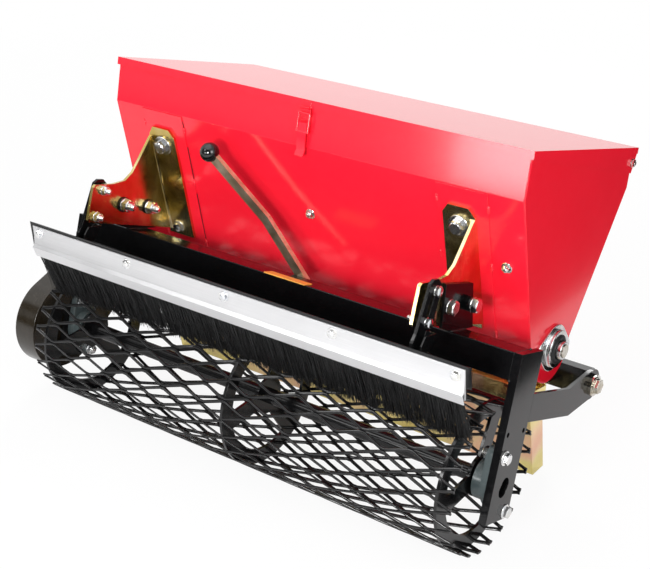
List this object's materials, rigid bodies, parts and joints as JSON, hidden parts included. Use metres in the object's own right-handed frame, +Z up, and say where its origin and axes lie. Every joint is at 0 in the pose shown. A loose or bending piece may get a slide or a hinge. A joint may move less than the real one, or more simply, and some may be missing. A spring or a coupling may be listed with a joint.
{
  "type": "seed drill",
  "caption": "Towed seed drill: a lidded hopper with seed shaft and chute over a mesh roller, with a cleaning brush and hitch arms.",
  "frame": {"origin": "centre of the whole drill's box, on the floor it parks on", "axes": "+X across the drill towards its bearing end, +Y from the brush to the hitch, which is the way of travel, +Z up. The drill is leaned back 13 degrees, as it parks on its roller and chute"},
  "size_m": [1.127, 0.7021, 0.7057],
  "materials": {
    "red_paint": "gloss powder coat",
    "black_paint": "gloss powder coat",
    "zinc_yellow": "yellow zinc plate",
    "zinc_bright": "bright zinc plate",
    "bright_steel": "turned",
    "bearing_casting": "painted casting",
    "strip_aluminium": "anodised",
    "bristle": "nylon fibre",
    "knob_plastic": "polished",
    "scale_yellow": "satin"
  },
  "bodies": {
    "frame": {"beam": "black_paint", "beam_plate_left": "black_paint", "beam_plate_right": "black_paint", "brush_angle": "black_paint", "brush_arm_left": "black_paint", "brush_arm_right": "black_paint", "brush_bristles": "bristle", "brush_strip": "strip_aluminium", "chain_guard": "black_paint", "chute_end_left": "zinc_yellow", "chute_end_right": "zinc_yellow", "chute_front": "zinc_yellow", "chute_rear": "zinc_yellow", "doubler_left": "red_paint", "doubler_right": "red_paint", "hitch_arm_left": "black_paint", "hitch_arm_right": "black_paint", "hitch_crossbar": "black_paint", "hitch_pin_left": "bright_steel", "hitch_pin_right": "bright_steel", "hopper_bracket_left": "zinc_yellow", "hopper_bracket_right": "zinc_yellow", "hopper_end_left": "red_paint", "hopper_end_right": "red_paint", "hopper_front": "red_paint", "hopper_rear": "red_paint", "hopper_trough": "red_paint", "leg_left": "black_paint", "leg_right": "black_paint", "lever": "zinc_yellow", "lever_knob": "knob_plastic", "lid_latch": "red_paint", "lid_pivot_left": "zinc_bright", "lid_pivot_right": "zinc_bright", "roller_bearing_left": "bearing_casting", "roller_bearing_right": "bearing_casting", "scale_plate": "scale_yellow", "seed_bearing_left": "zinc_bright", "seed_bearing_right": "zinc_bright"},
    "lid": {"lid": "red_paint", "latch_hook": "red_paint"},
    "roller": {"roller_skin": "black_paint", "roller_axle": "black_paint", "roller_spiders": "black_paint"},
    "seed_shaft": {"seed_shaft": "bright_steel", "stirring_pins": "bright_steel"}
  },
  "joints": [
    {"name": "lid_hinge", "type": "hinge", "parent": "frame", "child": "lid", "pos_m": [0.0225, 0.32424, 0.56278], "axis": [-1, 0, 0], "range_deg": [0, 95]},
    {"name": "roller_turn", "type": "hinge", "parent": "frame", "child": "roller", "pos_m": [0.0225, -0.20912, 0.142], "axis": [1, 0, 0], "continuous": true},
    {"name": "seed_shaft_turn", "type": "hinge", "parent": "frame", "child": "seed_shaft", "pos_m": [0.0225, 0.05107, 0.28205], "axis": [1, 0, 0], "continuous": true}
  ],
  "couplings": [
    {"joint": "seed_shaft_turn", "follows": "roller_turn", "ratio": 1.5}
  ]
}
